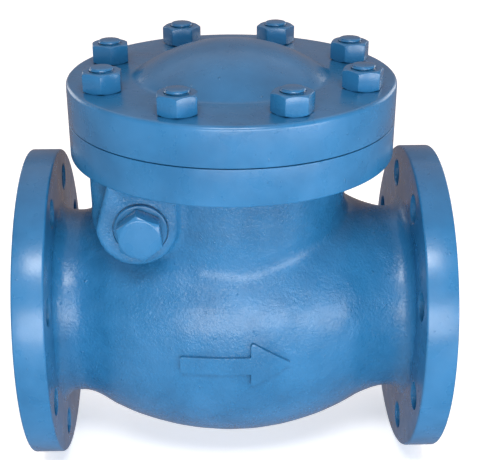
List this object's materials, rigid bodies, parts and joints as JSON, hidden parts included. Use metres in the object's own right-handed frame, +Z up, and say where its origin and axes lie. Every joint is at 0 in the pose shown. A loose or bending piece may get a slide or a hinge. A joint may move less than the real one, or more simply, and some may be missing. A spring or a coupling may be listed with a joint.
{
  "type": "swing check valve",
  "caption": "Flanged swing check valve: a hinged disc inside a bellied cast body lets water through one way and falls shut against backflow; bolted domed bonnet on top.",
  "frame": {"origin": "centre of the inlet's raised sealing face, on the pipe axis", "axes": "+X along the pipe axis with the flow, towards the outlet; +Z up through the bonnet; the hinge plug is on the -Y side"},
  "size_m": [0.292, 0.22, 0.3],
  "materials": {
    "blue_paint": "sand-cast iron under mid-blue gloss enamel",
    "painted_steel": "steel under the same blue gloss enamel",
    "iron": "cast iron with a dark protective varnish",
    "brass": "machined brass",
    "stainless": "machined stainless steel",
    "gasket": "dark jointing sheet"
  },
  "bodies": {
    "casing": {"body": "blue_paint", "seat_ring": "brass", "bonnet": "blue_paint", "bonnet_gasket": "gasket", "bonnet_studs": "painted_steel", "bonnet_nuts": "painted_steel", "hinge_plug": "painted_steel", "plug_washer": "painted_steel", "pin_bush_front": "brass", "pin_bush_rear": "brass", "thrust_washer_front": "brass", "thrust_washer_rear": "brass"},
    "arm": {"hinge_arm": "iron", "hinge_pin": "stainless"},
    "flap": {"disc": "iron", "disc_face_ring": "brass", "disc_stud": "stainless", "disc_washer": "stainless", "disc_nut": "stainless", "disc_split_pin": "stainless"}
  },
  "joints": [
    {"name": "disc_swing", "type": "hinge", "parent": "casing", "child": "arm", "pos_m": [0.086, 0, 0.09], "axis": [0, -1, 0], "range_deg": [0, 60]},
    {"name": "disc_spin", "type": "hinge", "parent": "arm", "child": "flap", "pos_m": [0.108, 0, 0], "axis": [1, 0, 0], "continuous": true}
  ]
}
